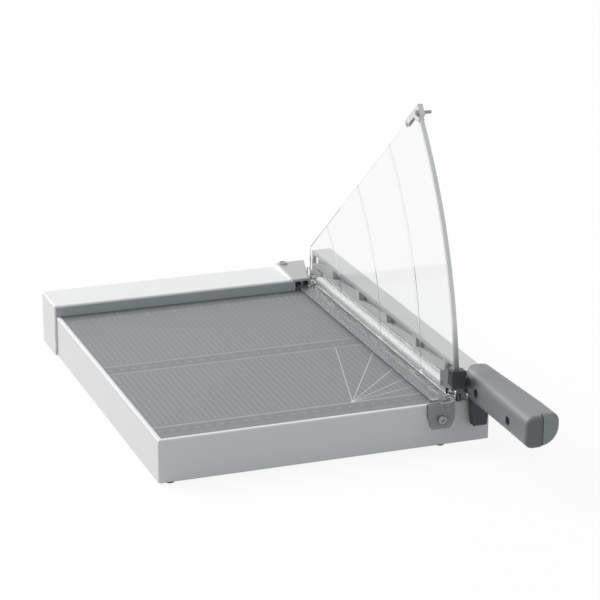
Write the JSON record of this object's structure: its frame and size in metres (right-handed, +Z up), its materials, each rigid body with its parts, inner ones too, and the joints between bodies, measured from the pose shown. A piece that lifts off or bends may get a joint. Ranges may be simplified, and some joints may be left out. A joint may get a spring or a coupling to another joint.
{
  "type": "paper trimmer",
  "caption": "Desk paper trimmer with a ruled table, a hinged cutting arm with a grip, a clear quarter-round guard, a clear clamp bar and a rear fence.",
  "frame": {"origin": "middle of the trimmer's whole outline seen from above, grip included, on the surface that the feet stand on", "axes": "+Z up, +X to the right (the cutting line's side), -Y towards the user, along the cutting line"},
  "size_m": [0.2884, 0.479, 0.2703],
  "materials": {
    "housing_white": "fine textured white",
    "mat_grey": "smooth grey with white rulings",
    "fence_grey": "matt dark grey",
    "hood_grey": "satin light grey",
    "rubber_black": "matt black",
    "steel": "ground",
    "screw_steel": "zinc plated",
    "brass": "turned",
    "arm_grey": "light grey powder coat",
    "black_plastic": "satin black",
    "grip_grey": "satin mid grey",
    "clear_plastic": "clear",
    "smoke_plastic": "smoky translucent"
  },
  "bodies": {
    "base": {"apron_screw": "screw_steel", "base_shell": "housing_white", "bed_knife": "steel", "bed_knife_screws": "screw_steel", "bracket_screws": "screw_steel", "clamp_studs": "screw_steel", "cutting_mat": "mat_grey", "disc_springs": "screw_steel", "fence_strip": "fence_grey", "foot_screws": "screw_steel", "guard_edge_strip": "black_plastic", "guard_front_post": "smoke_plastic", "guard_panel": "clear_plastic", "guard_rear_bracket": "clear_plastic", "guard_screws": "screw_steel", "guard_stop_pin": "screw_steel", "guard_tip_clip": "clear_plastic", "guard_tip_screw": "screw_steel", "pivot_bolt": "screw_steel", "pivot_bracket": "steel", "pivot_cover": "hood_grey", "pivot_cover_screw": "screw_steel", "pivot_nut": "screw_steel", "pivot_washer": "screw_steel", "post_screws": "screw_steel", "post_standoff": "screw_steel", "rear_cover": "housing_white", "rubber_feet": "rubber_black", "thrust_washer": "screw_steel"},
    "arm": {"cutting_arm": "arm_grey", "upper_blade": "steel", "blade_screws": "screw_steel", "pivot_bush": "brass", "arm_end_cap": "black_plastic", "guide_shoe": "black_plastic", "handle_tang": "steel", "tang_screws": "screw_steel", "handle_left": "grip_grey", "handle_right": "grip_grey", "handle_screws": "screw_steel"},
    "clamp": {"clamp_bar": "clear_plastic", "clamp_apron": "smoke_plastic", "clamp_springs": "screw_steel"}
  },
  "joints": [
    {"name": "arm_hinge", "type": "hinge", "parent": "base", "child": "arm", "pos_m": [0.11618, 0.21895, 0.0287], "axis": [-1, 0, 0], "range_deg": [0, 33]},
    {"name": "clamp_slide", "type": "slide", "parent": "base", "child": "clamp", "axis": [0, 0, 1], "range_m": [-0.0022, 0], "stiffness_N_per_m": 800, "springref_m": 0.004, "deforming": ["clamp_springs"]}
  ]
}
